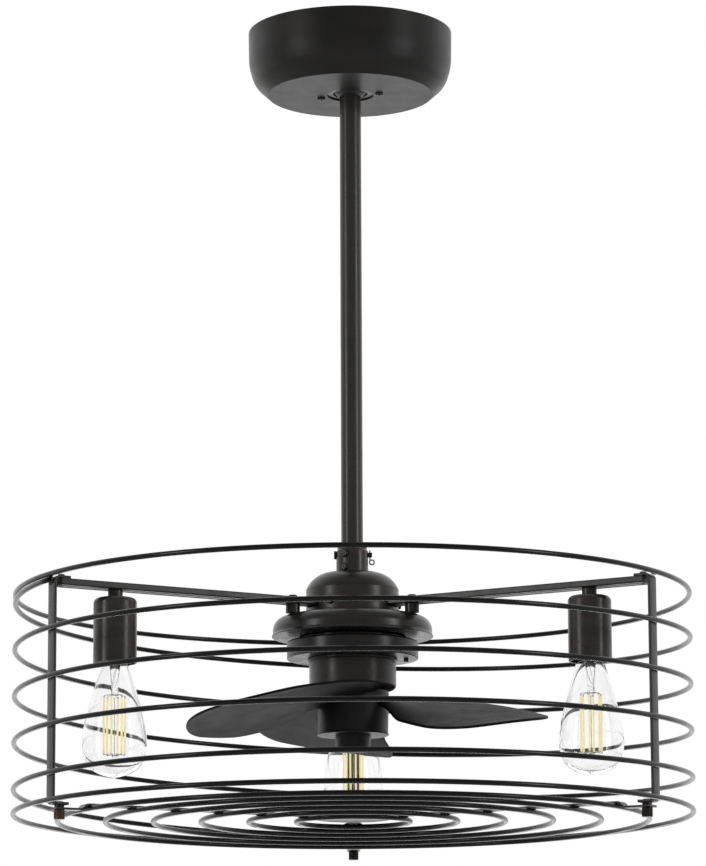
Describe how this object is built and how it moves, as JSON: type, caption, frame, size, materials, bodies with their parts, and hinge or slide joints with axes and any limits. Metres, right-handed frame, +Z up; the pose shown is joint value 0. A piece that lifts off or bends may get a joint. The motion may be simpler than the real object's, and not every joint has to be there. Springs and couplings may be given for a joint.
{
  "type": "ceiling fan with light",
  "caption": "Ceiling fan in a drum-shaped wire cage with clear lamps in dark cups on flat arms, hung by a straight downrod from a shallow canopy.",
  "frame": {"origin": "on the fan's vertical axis in the ceiling plane, at the centre of the hanger bracket's screw pattern", "axes": "+Z up along the downrod, front of the fan towards -Y, one arm and one lamp straight back along +Y"},
  "size_m": [0.66, 0.66, 0.799],
  "materials": {
    "bronze": "satin dark bronze paint",
    "wire": "satin near-black paint on round wire",
    "blade_plastic": "moulded, fine matte",
    "zinc_steel": "zinc plated",
    "black_screw": "blackened steel",
    "nylon": "natural nylon",
    "abs_black": "moulded",
    "lamination": "stacked laminations",
    "copper_winding": "enamelled wire",
    "bearing_steel": "ground",
    "holder_phenolic": "moulded phenolic",
    "lamp_brass": "plated lamp base",
    "lamp_glass": "clear",
    "lamp_inner": "glass stem with warm filaments",
    "knurled": "dark knurled brass"
  },
  "bodies": {
    "ceiling_mount": {"hanger_bracket": "zinc_steel", "canopy": "bronze", "canopy_screws": "black_screw", "receiver_box": "abs_black"},
    "seat_liner": {"seat_liner": "nylon"},
    "hanging_frame": {"arm_back": "bronze", "arm_bosses": "bronze", "arm_left": "bronze", "arm_right": "bronze", "arm_screws": "black_screw", "ball_pin": "zinc_steel", "bearings": "bearing_steel", "bottom_ring": "wire", "cage_coil": "wire", "clevis_pin": "black_screw", "cotter_pin": "zinc_steel", "downrod": "bronze", "hanger_ball": "abs_black", "housing_screws": "black_screw", "lamp_holder_back": "holder_phenolic", "lamp_holder_left": "holder_phenolic", "lamp_holder_right": "holder_phenolic", "lower_plate": "bronze", "motor_can": "bronze", "motor_dome": "bronze", "socket_cup_back": "bronze", "socket_cup_left": "bronze", "socket_cup_right": "bronze", "stator_core": "lamination", "stator_windings": "copper_winding", "strap_back": "bronze", "strap_left": "bronze", "strap_right": "bronze", "top_ring": "wire", "upper_housing": "bronze", "upper_plate": "bronze", "yoke_coupling": "bronze", "yoke_screws": "black_screw"},
    "rotor": {"motor_rotor": "bearing_steel", "blade_hub": "blade_plastic", "nose_cap": "blade_plastic", "blade_1": "blade_plastic", "blade_2": "blade_plastic", "blade_3": "blade_plastic"},
    "switch_knob": {"switch_knob": "abs_black"},
    "grille": {"grille_rings": "wire", "grille_frame": "wire"},
    "lamp_left": {"bulb_base_left": "lamp_brass", "bulb_glass_left": "lamp_glass", "bulb_filament_left": "lamp_inner"},
    "nut_left": {"thumb_nut_left": "knurled"},
    "lamp_right": {"bulb_base_right": "lamp_brass", "bulb_glass_right": "lamp_glass", "bulb_filament_right": "lamp_inner"},
    "nut_right": {"thumb_nut_right": "knurled"},
    "lamp_back": {"bulb_base_back": "lamp_brass", "bulb_glass_back": "lamp_glass", "bulb_filament_back": "lamp_inner"},
    "nut_back": {"thumb_nut_back": "knurled"}
  },
  "joints": [
    {"name": "hanger_tilt_x", "type": "hinge", "parent": "ceiling_mount", "child": "seat_liner", "pos_m": [0, 0, -0.044], "axis": [1, 0, 0], "range_deg": [-10, 10]},
    {"name": "hanger_tilt_y", "type": "hinge", "parent": "seat_liner", "child": "hanging_frame", "pos_m": [0, 0, -0.044], "axis": [0, 1, 0], "range_deg": [-10, 10]},
    {"name": "rotor_spin", "type": "hinge", "parent": "hanging_frame", "child": "rotor", "pos_m": [0, 0, -0.68], "axis": [0, 0, 1], "continuous": true},
    {"name": "reverse_switch", "type": "slide", "parent": "hanging_frame", "child": "switch_knob", "axis": [0, 1, 0], "range_m": [-0.0015, 0.0015]},
    {"name": "grille_drop", "type": "slide", "parent": "hanging_frame", "child": "grille", "axis": [0, 0, -1], "range_m": [0, 0.12]},
    {"name": "lamp_left_unscrew", "type": "slide", "parent": "hanging_frame", "child": "lamp_left", "axis": [0, 0, -1], "range_m": [0, 0.022]},
    {"name": "nut_left_turn", "type": "hinge", "parent": "grille", "child": "nut_left", "pos_m": [-0.27237, -0.15725, -0.795], "axis": [0, 0, 1], "continuous": true},
    {"name": "lamp_right_unscrew", "type": "slide", "parent": "hanging_frame", "child": "lamp_right", "axis": [0, 0, -1], "range_m": [0, 0.022]},
    {"name": "nut_right_turn", "type": "hinge", "parent": "grille", "child": "nut_right", "pos_m": [0.27237, -0.15725, -0.795], "axis": [0, 0, 1], "continuous": true},
    {"name": "lamp_back_unscrew", "type": "slide", "parent": "hanging_frame", "child": "lamp_back", "axis": [0, 0, -1], "range_m": [0, 0.022]},
    {"name": "nut_back_turn", "type": "hinge", "parent": "grille", "child": "nut_back", "pos_m": [0, 0.3145, -0.795], "axis": [0, 0, 1], "continuous": true}
  ]
}
